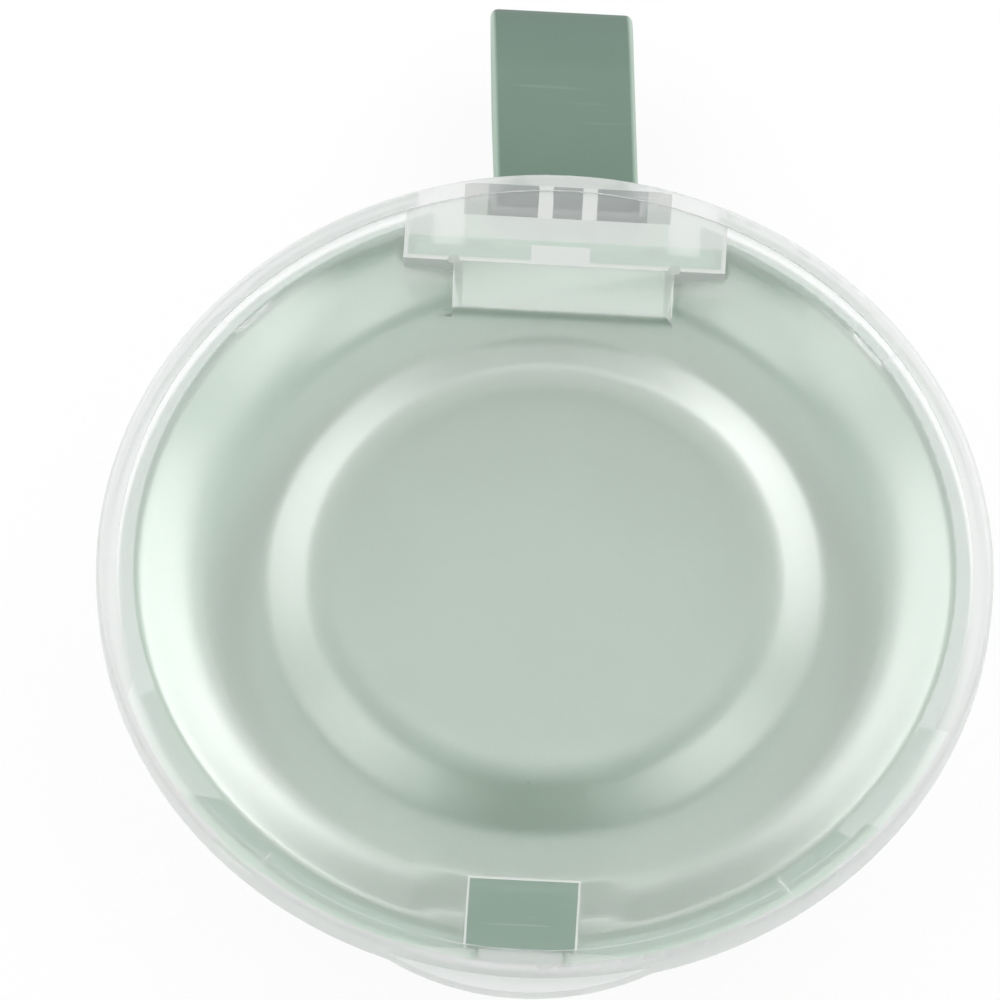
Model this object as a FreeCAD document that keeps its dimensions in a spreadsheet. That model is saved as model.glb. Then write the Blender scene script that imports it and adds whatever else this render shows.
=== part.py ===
import FreeCAD, Part
import os
import re
import Sketcher

# Round flip-lid palette case: a green dish, a frosted dished lid on a pinned hinge at the back,
# a strap loop on a bar below the hinge, and the wet sponge and sheet inside.
# Millimetres. The foot stands at z = 0, the hinge is at +Y, and the latch and thumb lip are at -Y.

sizes = {
    # Lid
    "lid_radius": 54.0,
    "total_height": 28.0,
    "lid_wall": 1.2,
    "skirt_height": 4.2,
    "edge_round": 0.9,
    "skirt_gap": 1.5,
    "rim_rise": 0.3,
    "step_run": 2.5,
    "slope_run": 15.1,
    "mouth_run": 3.0,
    "mouth_drop": 0.8,
    "cone_run": 2.4,
    "cone_depth": 3.95,
    "trough_width": 4.0,
    "trough_depth": 4.6,
    "bend_run": 1.9,
    "flank_run": 5.8,
    "flank_depth": 4.23,
    "crest_depth": 1.9,
    "disc_step": 4.5,
    "disc_depth": 2.3,
    "facet_half": 13.5,
    "facet_run": 4.6,
    "boss_half": 6.7,
    "boss_depth": 8.8,
    "tongue_half": 5.0,
    "tongue_drop": 4.9,
    "tongue_wall": 1.3,
    "lip_half": 17.8,
    "lip_reach": 1.9,
    "lip_height": 1.8,
    "stop_length": 6.0,
    "stop_front_angle": 40.5,
    "stop_back_angle": 49.0,
    # Dish
    "rim_wall": 1.7,
    "rim_drop": 2.6,
    "rim_band": 4.9,
    "foot_radius": 39.5,
    "foot_ring": 3.0,
    "foot_disc": 24.0,
    "foot_recess": 0.8,
    "floor_level": 2.0,
    "side_bow": 80.0,
    "latch_rise": 3.0,
    # Seal on the dish rim
    "seal_height": 1.0,
    # Hinge bay and hinge
    "notch_half": 16.4,
    "notch_depth": 6.9,
    "notch_drop": 6.4,
    "hinge_stand": 4.8,
    "hinge_drop": 3.9,
    "pin_radius": 1.0,
    "knuckle_radius": 2.0,
    "arm_width": 3.0,
    "barrel_gap": 0.7,
    "rib_offset": 2.7,
    "rib_width": 1.8,
    "rib_reach": 3.0,
    "rib_drop": 1.0,
    # Strap and its bar
    "bar_radius": 1.5,
    "bar_drop": 7.0,
    "strap_tuck": 3.1,
    "lug_radius": 2.8,
    "strap_width": 17.0,
    "strap_wall": 1.9,
    "strap_round": 0.6,
    "strap_length": 25.5,
    "strap_lift": 0.5,
    "strap_side_gap": 1.0,
    "fold_radius": 7.0,
    # Sponge and sheet
    "sponge_gap": 2.0,
    "sponge_height": 8.0,
    "sponge_round": 1.5,
    "sheet_inset": 1.0,
    "sheet_wall": 0.4,
    # Clearances
    "fit_gap": 0.4,
    "seat_gap": 0.3,
    "running_gap": 0.06,
    "press_gap": 0.01,
    "bar_gap": 0.3,
}

# Places that follow from the sizes
places = {
    # Levels
    "flange": "total_height - rim_rise",
    "plate": "flange - lid_wall",
    "seal_top": "total_height - rim_drop",
    "wall_top": "seal_top - seal_height",
    "taper_top": "wall_top - rim_band",
    "dish_low": "plate - trough_depth",
    "notch_floor": "wall_top - notch_drop",
    "hinge_level": "total_height - hinge_drop",
    "bar_level": "notch_floor - bar_drop",
    "fold_level": "fold_radius + strap_wall + strap_lift",
    # Radii
    "skirt_inside": "lid_radius - lid_wall",
    "lip_ring": "lid_radius - lid_wall / 2",
    "rim_radius": "skirt_inside - skirt_gap",
    "rim_middle": "rim_radius - rim_wall / 2",
    "rim_inside": "rim_radius - rim_wall",
    "mouth_radius": "rim_inside",
    "step_ring": "lid_radius - step_run",
    "edge_ring": "lid_radius - edge_round",
    "cone_top": "mouth_radius - mouth_run",
    "trough_outer": "lid_radius - slope_run",
    "cone_foot": "trough_outer + cone_run",
    "trough_inner": "trough_outer - trough_width",
    "flank_foot": "trough_inner - bend_run",
    "crest_radius": "flank_foot - flank_run",
    "disc_radius": "crest_radius - disc_step",
    "inner_ring": "mouth_radius - lid_wall / 2",
    "cap_ring": "mouth_radius + lid_wall",
    "inside_foot": "foot_radius + (rim_radius - foot_radius) * floor_level / taper_top - rim_wall",
    "sponge_radius": "inside_foot - sponge_gap",
    "sheet_radius": "sponge_radius - sheet_inset",
    # Hinge and strap
    "notch_face": "rim_radius - notch_depth",
    "notch_back": "notch_face - rim_wall",
    "notch_outer": "notch_half + rim_wall",
    "hinge_reach": "notch_face + hinge_stand",
    "arm_inner": "strap_width / 2 + strap_side_gap",
    "arm_outer": "arm_inner + arm_width",
    "barrel_half": "arm_inner - barrel_gap",
    "pin_span": "2 * arm_outer",
    "bar_reach": "rim_radius - strap_tuck + bar_radius + bar_gap + strap_wall",
    "fold_reach": "bar_reach + strap_length",
    # Lid bay, facet, boss and lip
    "bay_half": "notch_outer + fit_gap + lid_wall",
    "bay_inside": "bay_half - lid_wall",
    "bay_front": "notch_back - fit_gap - lid_wall",
    "facet_low": "bay_front - facet_run",
    "boss_rear": "boss_depth - cap_ring",
    "boss_inside": "boss_half - lid_wall",
    "latch_half": "boss_inside - fit_gap",
    "latch_rear": "boss_rear - lid_wall - fit_gap",
    "latch_front": "tongue_wall + seat_gap + fit_gap - rim_radius",
    "mouth_bend": "(mouth_run^2 + mouth_drop^2) / (2 * mouth_drop)",
    "cone_rise": "trough_depth - cone_depth",
    "cone_bend": "(cone_run^2 + cone_rise^2) / (2 * cone_rise)",
    "flank_rise": "trough_depth - flank_depth",
    "flank_bend": "(bend_run^2 + flank_rise^2) / (2 * flank_rise)",
    "lip_root": "sqrt(lip_ring^2 - lip_half^2)",
    "lip_rise": "lid_radius + lip_reach - lip_root",
    "lip_bend": "(lip_half^2 + lip_rise^2) / (2 * lip_rise)",
}

doc = FreeCAD.newDocument("palette_case")
sheet = doc.addObject("Spreadsheet::Sheet", "sizes")
for row, (alias, value) in enumerate(sizes.items(), start=1):
    sheet.set(f"A{row}", alias)
    sheet.set(f"B{row}", str(value))
    sheet.setAlias(f"B{row}", alias)
doc.recompute()

HORIZONTAL, VERTICAL = range(-1, -3, -1)
START, END, CENTRE = range(1, 4)
FULL_ANGLE = 360.0
TOLERANCE = 1e-6
parts = {}


def bound(text):
    # Names of places are written out, and names of sizes become references to the sheet's cells.
    def reference(word):
        name = word.group()
        if name in places:
            return f"({bound(places[name])})"
        return "sizes." + name if name in sizes else name
    return re.sub(r"[a-z_]+", reference, text)


def number(text):
    return float(sheet.evalExpression(bound(text)))


def new_body(name):
    body = doc.addObject("PartDesign::Body", name)
    body.Label = name
    parts[name] = body
    return body


def new_sketch(body, name, plane, offset="0", turn="0"):
    sketch = body.newObject("Sketcher::SketchObject", name)
    support = [feature for feature in body.Origin.OriginFeatures if feature.Role == plane][0]
    sketch.AttachmentSupport = (support, [""])
    sketch.MapMode = "FlatFace"
    sketch.AttachmentOffset = FreeCAD.Placement(
        FreeCAD.Vector(0, 0, number(offset)), FreeCAD.Rotation(FreeCAD.Vector(0, 0, 1), number(turn))
    )
    if offset != "0":
        sketch.setExpression("AttachmentOffset.Base.z", bound(offset))
    if turn != "0":
        sketch.setExpression("AttachmentOffset.Rotation.Angle", bound(turn))
    return sketch


def tie(sketch, text, *terms):
    # One driven dimension of a sketch.
    index = sketch.addConstraint(Sketcher.Constraint(*terms, number(text)))
    sketch.setExpression(f"Constraints[{index}]", bound(text))


def pin_point(sketch, geometry, position, across, along):
    # Ties one sketch point to the sheet, on an axis where its coordinate is nothing.
    for kind, axis, text in (("DistanceX", VERTICAL, across), ("DistanceY", HORIZONTAL, along)):
        if text == "0":
            sketch.addConstraint(Sketcher.Constraint("PointOnObject", geometry, position, axis))
            continue
        tie(sketch, text, kind, HORIZONTAL, START, geometry, position)


def outline(sketch, corners):
    # A closed outline. Each corner is (across, along, way to the next corner, sizes of that way):
    # "line", "ring" (an arc about the axis), "bow" (a radius, left or right of the way) or
    # "ease" (an arc that leaves or meets the straight run beside it smoothly).
    points = [FreeCAD.Vector(number(corner[0]), number(corner[1]), 0) for corner in corners]
    starts, ends = [], []
    for index, corner in enumerate(corners):
        here = points[index]
        there = points[(index + 1) % len(points)]
        way = corner[2] if len(corner) > 2 else "line"
        if way == "line":
            geometry = sketch.addGeometry(Part.LineSegment(here, there), False)
            starts.append((geometry, START))
            ends.append((geometry, END))
            continue
        middle = (here + there) * 0.5
        chord = there - here
        side = FreeCAD.Vector(-chord.y, chord.x, 0).normalize()
        if way == "ring":
            middle = middle.normalize() * here.Length
        else:
            radius = number(corner[3])
            sagitta = abs(radius) - max(0.0, radius ** 2 - (chord.Length / 2) ** 2) ** 0.5
            middle = middle + side * (sagitta if radius > 0 else -sagitta)
        geometry = sketch.addGeometry(Part.Arc(here, middle, there), False)
        forward = sketch.getPoint(geometry, START).distanceToPoint(here) < TOLERANCE
        starts.append((geometry, START if forward else END))
        ends.append((geometry, END if forward else START))
        if way == "ring":
            sketch.addConstraint(Sketcher.Constraint("Coincident", geometry, CENTRE, HORIZONTAL, START))
        elif way == "bow":
            tie(sketch, f"abs({corner[3]})", "Radius", geometry)
    for index, corner in enumerate(corners):
        before = ends[index - 1]
        after = starts[index]
        arriving = corners[index - 1][2:3] == ("ease",) and corners[index - 1][4] == "end"
        leaving = corner[2:3] == ("ease",) and corner[4] == "start"
        joint = "Tangent" if arriving or leaving else "Coincident"
        sketch.addConstraint(Sketcher.Constraint(joint, *before, *after))
    for index, corner in enumerate(corners):
        across, along = corner[0], corner[1]
        if corners[index - 1][2:3] == ("ring",):
            # The far end of an arc about the axis is fixed by its radius, so one coordinate is enough.
            tie(sketch, across, "DistanceX", HORIZONTAL, START, *starts[index])
            continue
        pin_point(sketch, *starts[index], across, along)


def turn_profile(kind, body, name, corners):
    sketch = new_sketch(body, name + "_profile", "XZ_Plane")
    outline(sketch, corners)
    feature = body.newObject("PartDesign::" + kind, name)
    feature.Profile = sketch
    feature.ReferenceAxis = (sketch, ["V_Axis"])
    feature.Angle = FULL_ANGLE
    doc.recompute()


def revolve(body, name, corners):
    turn_profile("Revolution", body, name, corners)


def hollow(body, name, corners):
    turn_profile("Groove", body, name, corners)


def extrude(kind, body, name, plane, corners, length, offset="0", turn="0", middle=False):
    sketch = new_sketch(body, name + "_outline", plane, offset, turn)
    if callable(corners):
        corners(sketch)
    else:
        outline(sketch, corners)
    before = body.Shape.Volume if body.Shape.Solids else 0.0
    feature = body.newObject("PartDesign::" + kind, name)
    feature.Profile = sketch
    feature.setExpression("Length", bound(length))
    feature.Length = number(length)
    feature.Midplane = middle
    doc.recompute()
    gained = body.Shape.Volume - before
    if (kind == "Pad") != (gained > 0) or abs(gained) < TOLERANCE:
        raise RuntimeError(f"{body.Label}: {name} changes the volume by {gained:.4f}")
    return feature


def rectangle(left, front, right, rear):
    return [(left, front), (right, front), (right, rear), (left, rear)]


def disc(across, along, radius):
    def draw(sketch):
        centre = FreeCAD.Vector(number(across), number(along), 0)
        circle = sketch.addGeometry(Part.Circle(centre, FreeCAD.Vector(0, 0, 1), number(radius)), False)
        pin_point(sketch, circle, CENTRE, across, along)
        tie(sketch, radius, "Radius", circle)
    return draw


def strap_loop_outline(sketch):
    # Two closed loops, each an arc round the bar, an arc at the far fold and the two runs between.
    near = (number("bar_reach"), number("bar_level"))
    far = (number("fold_reach"), number("fold_level"))
    along = FreeCAD.Vector(far[0] - near[0], far[1] - near[1], 0)
    for near_radius, far_radius in (
        ("bar_radius + bar_gap", "fold_radius"),
        ("bar_radius + bar_gap + strap_wall", "fold_radius + strap_wall"),
    ):
        lean = (number(far_radius) - number(near_radius)) / along.Length
        ahead = FreeCAD.Vector(along).normalize()
        aside = FreeCAD.Vector(-ahead.y, ahead.x, 0)
        upper = ahead * -lean + aside * (1 - lean ** 2) ** 0.5
        lower = ahead * -lean - aside * (1 - lean ** 2) ** 0.5
        near_centre = FreeCAD.Vector(near[0], near[1], 0)
        far_centre = FreeCAD.Vector(far[0], far[1], 0)
        near_top = near_centre + upper * number(near_radius)
        near_low = near_centre + lower * number(near_radius)
        far_top = far_centre + upper * number(far_radius)
        far_low = far_centre + lower * number(far_radius)
        near_side = near_centre - ahead * number(near_radius)
        far_side = far_centre + ahead * number(far_radius)
        near_arc = sketch.addGeometry(Part.Arc(near_top, near_side, near_low), False)
        under = sketch.addGeometry(Part.LineSegment(near_low, far_low), False)
        far_arc = sketch.addGeometry(Part.Arc(far_low, far_side, far_top), False)
        over = sketch.addGeometry(Part.LineSegment(far_top, near_top), False)
        for before, after in ((near_arc, under), (under, far_arc), (far_arc, over), (over, near_arc)):
            sketch.addConstraint(Sketcher.Constraint("Tangent", before, END, after, START))
        pin_point(sketch, near_arc, CENTRE, "bar_reach", "bar_level")
        pin_point(sketch, far_arc, CENTRE, "fold_reach", "fold_level")
        tie(sketch, near_radius, "Radius", near_arc)
        tie(sketch, far_radius, "Radius", far_arc)


arm_sides = {"right": "arm_inner", "left": "-arm_outer"}

# The notch in the rim at the back, shared by the dish and its seal
notch_ring = "sqrt(rim_middle^2 - notch_outer^2)"
notch_block = [
    ("-notch_outer", "notch_back"),
    ("notch_outer", "notch_back"),
    ("notch_outer", notch_ring, "ring"),
    ("-notch_outer", notch_ring),
]
notch_cut = rectangle("-notch_half", "notch_face", "notch_half", "rim_radius + fit_gap")
tongue_cut = rectangle(
    "-tongue_half - fit_gap", "-rim_radius - fit_gap", "tongue_half + fit_gap", "-rim_inside + fit_gap"
)

# Dish: tapered wall on a foot ring
dish = new_body("base_dish")
revolve(dish, "dish_form", [
    ("0", "0"),
    ("foot_disc", "0"),
    ("foot_disc", "foot_recess"),
    ("foot_radius - foot_ring", "foot_recess"),
    ("foot_radius - foot_ring", "0"),
    ("foot_radius", "0", "bow", "-side_bow"),
    ("rim_radius", "taper_top"),
    ("rim_radius", "wall_top"),
    ("0", "wall_top"),
])
for side, place in arm_sides.items():
    extrude("Pad", dish, f"strap_lug_{side}", "YZ_Plane", [
        ("foot_radius", "bar_level - lug_radius"),
        ("bar_reach", "bar_level - lug_radius", "ease", "-lug_radius", "start"),
        ("bar_reach", "bar_level + lug_radius"),
        ("foot_radius", "bar_level + lug_radius"),
    ], "arm_width", offset=place)
hollow(dish, "dish_hollow", [
    ("0", "floor_level"),
    ("inside_foot", "floor_level", "bow", "-side_bow"),
    ("rim_inside", "taper_top"),
    ("rim_inside", "total_height"),
    ("0", "total_height"),
])
extrude("Pad", dish, "notch_wall", "XY_Plane", notch_block,
        "wall_top - notch_floor + rim_wall", offset="notch_floor - rim_wall")
extrude("Pocket", dish, "notch", "XY_Plane", notch_cut, "wall_top - notch_floor", offset="wall_top")
for side, place in arm_sides.items():
    extrude("Pad", dish, f"hinge_arm_{side}", "YZ_Plane", [
        ("notch_face - rim_wall / 2", "notch_floor - rim_wall / 2"),
        ("hinge_reach", "notch_floor - rim_wall / 2"),
        ("hinge_reach", "hinge_level - knuckle_radius", "ease", "-knuckle_radius", "end"),
        ("hinge_reach", "hinge_level + knuckle_radius"),
        ("notch_face + seat_gap", "hinge_level + knuckle_radius"),
        ("notch_face + seat_gap", "wall_top"),
        ("notch_face - rim_wall / 2", "wall_top"),
    ], "arm_width", offset=place)
extrude("Pocket", dish, "pin_hole", "YZ_Plane", disc("hinge_reach", "hinge_level", "pin_radius + press_gap"),
        "pin_span + fit_gap", middle=True)
extrude("Pocket", dish, "bar_hole", "YZ_Plane", disc("bar_reach", "bar_level", "bar_radius + press_gap"),
        "pin_span + fit_gap", middle=True)
extrude("Pocket", dish, "tongue_notch", "XY_Plane", tongue_cut,
        "wall_top - plate + tongue_drop + seat_gap", offset="wall_top")
extrude("Pad", dish, "latch_block", "YZ_Plane", [
    ("latch_front", "notch_floor"),
    ("latch_rear", "notch_floor + latch_rise"),
    ("latch_rear", "plate - seat_gap"),
    ("latch_front", "plate - seat_gap"),
], "2 * latch_half", middle=True)

# Seal: a soft ring along the whole top of the dish wall
seal = new_body("rim_seal")
revolve(seal, "seal_ring", [
    ("rim_inside", "wall_top"),
    ("rim_radius", "wall_top"),
    ("rim_radius", "seal_top"),
    ("rim_inside", "seal_top"),
])
extrude("Pad", seal, "seal_bridge", "XY_Plane", notch_block, "seal_height", offset="wall_top")
extrude("Pocket", seal, "seal_notch", "XY_Plane", notch_cut, "seal_height", offset="seal_top")
extrude("Pocket", seal, "seal_gap", "XY_Plane", tongue_cut, "seal_height", offset="seal_top")

# Lid: a dished frosted shell
lid = new_body("lid_shell")
revolve(lid, "lid_form", [
    ("0", "flange - disc_depth"),
    ("disc_radius", "flange - disc_depth"),
    ("crest_radius", "flange - crest_depth"),
    ("flank_foot", "flange - flank_depth", "ease", "-flank_bend", "end"),
    ("trough_inner", "flange - trough_depth"),
    ("trough_outer", "flange - trough_depth", "ease", "-cone_bend", "start"),
    ("cone_foot", "flange - cone_depth"),
    ("cone_top", "flange - mouth_drop", "ease", "mouth_bend", "end"),
    ("mouth_radius", "flange"),
    ("step_ring", "flange"),
    ("step_ring", "total_height"),
    ("edge_ring", "total_height"),
    ("edge_ring", "plate"),
    ("mouth_radius", "plate", "ease", "-mouth_bend", "start"),
    ("cone_top", "plate - mouth_drop"),
    ("cone_foot", "plate - cone_depth", "ease", "cone_bend", "end"),
    ("trough_outer", "dish_low"),
    ("trough_inner", "dish_low", "ease", "flank_bend", "start"),
    ("flank_foot", "plate - flank_depth"),
    ("crest_radius", "plate - crest_depth"),
    ("disc_radius", "plate - disc_depth"),
    ("0", "plate - disc_depth"),
])

# Lid: hinge bay at the back, with a sloping facet in front of it


def bay_outline(half, front, ring):
    rear = f"sqrt({ring}^2 - {half}^2)"
    return [(f"-{half}", front), (half, front), (half, rear, "ring"), (f"-{half}", rear)]


def boss_outline(half, rear, ring):
    front = f"-sqrt({ring}^2 - {half}^2)"
    return [(half, rear), (f"-{half}", rear), (f"-{half}", front, "ring"), (half, front)]


extrude("Pad", lid, "bay_block", "XY_Plane", bay_outline("bay_half", "bay_front", "inner_ring"),
        "trough_depth + lid_wall", offset="dish_low")
extrude("Pad", lid, "bay_cap", "XY_Plane", bay_outline("bay_half", "bay_front", "cap_ring"), "lid_wall", offset="plate")
extrude("Pad", lid, "facet_block", "YZ_Plane", [
    ("facet_low", "dish_low"),
    ("bay_front + lid_wall", "dish_low"),
    ("bay_front + lid_wall", "flange"),
    ("bay_front", "flange"),
    ("facet_low", "flange - trough_depth"),
], "2 * facet_half", middle=True)

# Lid: flat latch boss at the front
extrude("Pad", lid, "boss_block", "XY_Plane", boss_outline("boss_half", "boss_rear", "inner_ring"),
        "trough_depth + lid_wall", offset="dish_low")
extrude("Pad", lid, "boss_cap", "XY_Plane", boss_outline("boss_half", "boss_rear", "cap_ring"),
        "lid_wall", offset="plate")

# Lid: the bay, facet and boss are hollow from below
extrude("Pocket", lid, "bay_hollow", "XY_Plane",
        bay_outline("bay_inside", "bay_front + lid_wall", "skirt_inside"), "trough_depth + lid_wall", offset="plate")
extrude("Pocket", lid, "facet_hollow", "YZ_Plane", [
    ("facet_low + lid_wall", "dish_low - lid_wall"),
    ("bay_front + 2 * lid_wall", "dish_low - lid_wall"),
    ("bay_front + 2 * lid_wall", "plate"),
    ("bay_front + lid_wall / 2", "plate"),
    ("facet_low + lid_wall", "flange - trough_depth"),
], "2 * (facet_half - lid_wall)", middle=True)
extrude("Pocket", lid, "boss_hollow", "XY_Plane",
        boss_outline("boss_inside", "boss_rear - lid_wall", "mouth_radius"),
        "trough_depth + lid_wall", offset="plate")

# Lid: skirt with a rounded upper edge, open behind the hinge
revolve(lid, "skirt", [
    ("skirt_inside", "total_height - skirt_height"),
    ("lid_radius", "total_height - skirt_height"),
    ("lid_radius", "total_height - edge_round", "ease", "-edge_round", "start"),
    ("edge_ring", "total_height"),
    ("skirt_inside", "total_height"),
])
extrude("Pocket", lid, "hinge_gap", "XY_Plane", rectangle(
    "-bay_inside", "hinge_reach", "bay_inside", "lid_radius + fit_gap"
), "skirt_height", offset="plate")

# Lid: hinge barrel hung from the bay cap, with two stiffening ribs
extrude("Pad", lid, "barrel", "YZ_Plane", [
    ("hinge_reach - knuckle_radius", "plate + lid_wall / 2"),
    ("hinge_reach - knuckle_radius", "hinge_level", "ease", "-knuckle_radius", "start"),
    ("hinge_reach + knuckle_radius", "hinge_level"),
    ("hinge_reach + knuckle_radius", "plate + lid_wall / 2"),
], "2 * barrel_half", middle=True)
for side, place in (("right", "rib_offset - rib_width / 2"), ("left", "-rib_offset - rib_width / 2")):
    extrude("Pad", lid, f"rib_{side}", "YZ_Plane", rectangle(
        "hinge_reach - rib_reach", "hinge_level - rib_drop", "hinge_reach + rib_reach", "plate + lid_wall / 2"
    ), "rib_width", offset=place)
extrude("Pocket", lid, "pin_bore", "YZ_Plane", disc("hinge_reach", "hinge_level", "pin_radius + running_gap"),
        "2 * barrel_half + fit_gap", middle=True)

# Lid: thumb lip and latch tongue at the front, and four stops over the seal
extrude("Pad", lid, "thumb_lip", "XY_Plane", [
    ("-lip_half", "-lip_root", "ring"),
    ("lip_half", "-lip_root", "bow", "lip_bend"),
], "lip_height", offset="total_height - skirt_height")
extrude("Pad", lid, "latch_tongue", "XY_Plane", rectangle(
    "-tongue_half", "-rim_radius + seat_gap", "tongue_half", "-rim_radius + seat_gap + tongue_wall"
), "tongue_drop + lid_wall / 2", offset="plate - tongue_drop")
stop_turns = {
    "front_right": "stop_front_angle",
    "front_left": "-stop_front_angle",
    "back_right": "180 - stop_back_angle",
    "back_left": "stop_back_angle - 180",
}
for place, turn in stop_turns.items():
    extrude("Pad", lid, f"stop_{place}", "XY_Plane", rectangle(
        "-stop_length / 2", "-lip_ring", "stop_length / 2", "-rim_inside"
    ), "rim_drop - seat_gap - lid_wall / 2", offset="seal_top + seat_gap", turn=turn)

# Pins: one through the hinge, one that carries the strap
pin = new_body("hinge_pin")
extrude("Pad", pin, "pin_rod", "YZ_Plane", disc("hinge_reach", "hinge_level", "pin_radius"), "pin_span", middle=True)
bar = new_body("strap_bar")
extrude("Pad", bar, "bar_rod", "YZ_Plane", disc("bar_reach", "bar_level", "bar_radius"), "pin_span", middle=True)

# Strap: a closed flat band round its bar
strap = new_body("strap_loop")
band = extrude("Pad", strap, "band", "YZ_Plane", strap_loop_outline, "strap_width", middle=True)
sides = [
    f"Edge{index}" for index, edge in enumerate(band.Shape.Edges, start=1)
    if edge.BoundBox.XLength < TOLERANCE
]
rounding = strap.newObject("PartDesign::Fillet", "band_edges")
rounding.Base = (band, sides)
rounding.setExpression("Radius", bound("strap_round"))
doc.recompute()

# Inside: the sponge that holds the water, and the sheet that lies on it
sponge = new_body("sponge_pad")
revolve(sponge, "sponge_form", [
    ("0", "floor_level"),
    ("sponge_radius", "floor_level"),
    ("sponge_radius", "floor_level + sponge_height - sponge_round", "ease", "-sponge_round", "start"),
    ("sponge_radius - sponge_round", "floor_level + sponge_height"),
    ("0", "floor_level + sponge_height"),
])
paper = new_body("palette_sheet")
extrude("Pad", paper, "sheet_disc", "XY_Plane", disc("0", "0", "sheet_radius"), "sheet_wall",
        offset="floor_level + sponge_height")

# Every object is sound before anything is written
doc.recompute()
for item in doc.Objects:
    if "Invalid" in item.State or "Error" in item.State:
        raise RuntimeError(f"{item.Label} failed: {item.State}")
for name, body in parts.items():
    if body.Shape.isNull() or not body.Shape.isValid() or len(body.Shape.Solids) != 1:
        raise RuntimeError(f"{name} is not one sound solid")

os.makedirs("parts", exist_ok=True)
for name, body in parts.items():
    body.Shape.exportStep(f"parts/{name}.step")
    box = body.Shape.BoundBox
    print(f"{name:14s} volume {body.Shape.Volume:9.1f}  z {box.ZMin:6.2f} to {box.ZMax:6.2f}"
          f"  y {box.YMin:6.2f} to {box.YMax:6.2f}  x {box.XMin:6.2f} to {box.XMax:6.2f}")
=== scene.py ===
import bpy
import math
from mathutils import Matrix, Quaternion, Vector


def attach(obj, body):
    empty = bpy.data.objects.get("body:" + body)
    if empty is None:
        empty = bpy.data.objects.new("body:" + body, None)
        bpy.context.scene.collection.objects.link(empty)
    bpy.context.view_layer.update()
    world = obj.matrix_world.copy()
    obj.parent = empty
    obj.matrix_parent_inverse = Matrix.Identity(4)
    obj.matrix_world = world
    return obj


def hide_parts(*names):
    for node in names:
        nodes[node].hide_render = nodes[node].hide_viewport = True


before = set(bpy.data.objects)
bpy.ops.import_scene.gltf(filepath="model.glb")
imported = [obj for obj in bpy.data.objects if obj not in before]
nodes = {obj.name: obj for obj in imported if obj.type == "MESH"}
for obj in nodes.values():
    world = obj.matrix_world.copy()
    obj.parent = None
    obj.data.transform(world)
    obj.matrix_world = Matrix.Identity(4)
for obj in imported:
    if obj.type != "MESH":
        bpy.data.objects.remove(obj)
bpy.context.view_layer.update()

print("frame loaded:", ", ".join(sorted(nodes)))


def deselectAll():
    if bpy.context.object and bpy.context.object.mode != "OBJECT":
        bpy.ops.object.mode_set(mode="OBJECT")
    bpy.ops.object.select_all(action="DESELECT")


def clearPicks():
    # nothing in the active piece's mesh stays picked
    bpy.ops.object.mode_set(mode="EDIT")
    bpy.ops.mesh.select_all(action="DESELECT")
    bpy.ops.object.mode_set(mode="OBJECT")


def srgb(r, g, b):
    # screen colour 0-255 to the linear colour that sockets take
    def lin(c):
        c = c / 255.0
        return c / 12.92 if c <= 0.04045 else ((c + 0.055) / 1.055) ** 2.4
    return (lin(r), lin(g), lin(b), 1.0)


# camera: long lens from the front, high up
cameraValues = {
    "azimuth": 3.4, "elevation": 62.2, "distance": 1.2,
    "lens": 359.3, "sensor": 36.0,
    "nearest": 0.05, "farthest": 20.0,
    "lidCentre": (0.0, 0.0, 0.028),
    "lidPixel": (544.8, 562.5),  # where the lid's centre stands in the picture
    "frame": 1000.0,  # the picture's width in pixels
}


def makeCamera(v):
    a = math.radians(v["azimuth"])
    e = math.radians(v["elevation"])
    back = Vector((math.sin(a) * math.cos(e), -math.cos(a) * math.cos(e), math.sin(e)))
    right = Vector((math.cos(a), math.sin(a), 0.0))
    up = back.cross(right)
    metre = v["sensor"] / v["lens"] * v["distance"] / v["frame"]  # metres to a pixel at the lid
    half = v["frame"] / 2
    aim = Vector(v["lidCentre"])
    aim -= right * (v["lidPixel"][0] - half) * metre
    aim += up * (v["lidPixel"][1] - half) * metre
    deselectAll()
    bpy.ops.object.camera_add(location=aim + back * v["distance"])
    cam = bpy.context.object
    cam.name = "viewCamera"
    cam.rotation_mode = "QUATERNION"
    cam.rotation_quaternion = (-back).to_track_quat("-Z", "Y")
    cam.data.lens = v["lens"]
    cam.data.sensor_width = v["sensor"]
    cam.data.clip_start = v["nearest"]
    cam.data.clip_end = v["farthest"]
    bpy.context.scene.camera = cam


makeCamera(cameraValues)
print("camera set")

# light: a pale tent round the object, with soft boxes beyond it
lightValues = {
    "boxes": [
        # name, place, width, height, roll in degrees, watts
        ("boxLeft", (-0.585, 0.49, 0.41), 0.90, 0.34, 22.0, 1.75),
        ("boxRight", (0.53, 0.55, 0.40), 0.90, 0.34, -22.0, 1.95),
        ("boxLow", (0.14, 0.84, 0.42), 0.80, 0.16, 0.0, 0.52),
        ("boxBack", (0.0, 0.52, 0.66), 1.30, 0.60, 0.0, 0.95),
        ("boxFlankLeft", (-0.60, -0.28, 0.78), 0.70, 0.60, 0.0, 1.5),
        ("boxFlankRight", (0.60, -0.28, 0.78), 0.70, 0.60, 0.0, 1.7),
        ("boxFront", (0.0, -0.80, 0.60), 0.60, 0.35, 0.0, 1.25),
    ],
    "aim": (0.0, 0.0, 0.02),
    "tentLevel": 0.86, "gapLevel": 0.04,  # pale tent all round, dim where its opening is
    "gapAxis": (0.0, -0.40, 0.917), "gapInner": 14.0, "gapOuter": 32.0,
}


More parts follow.
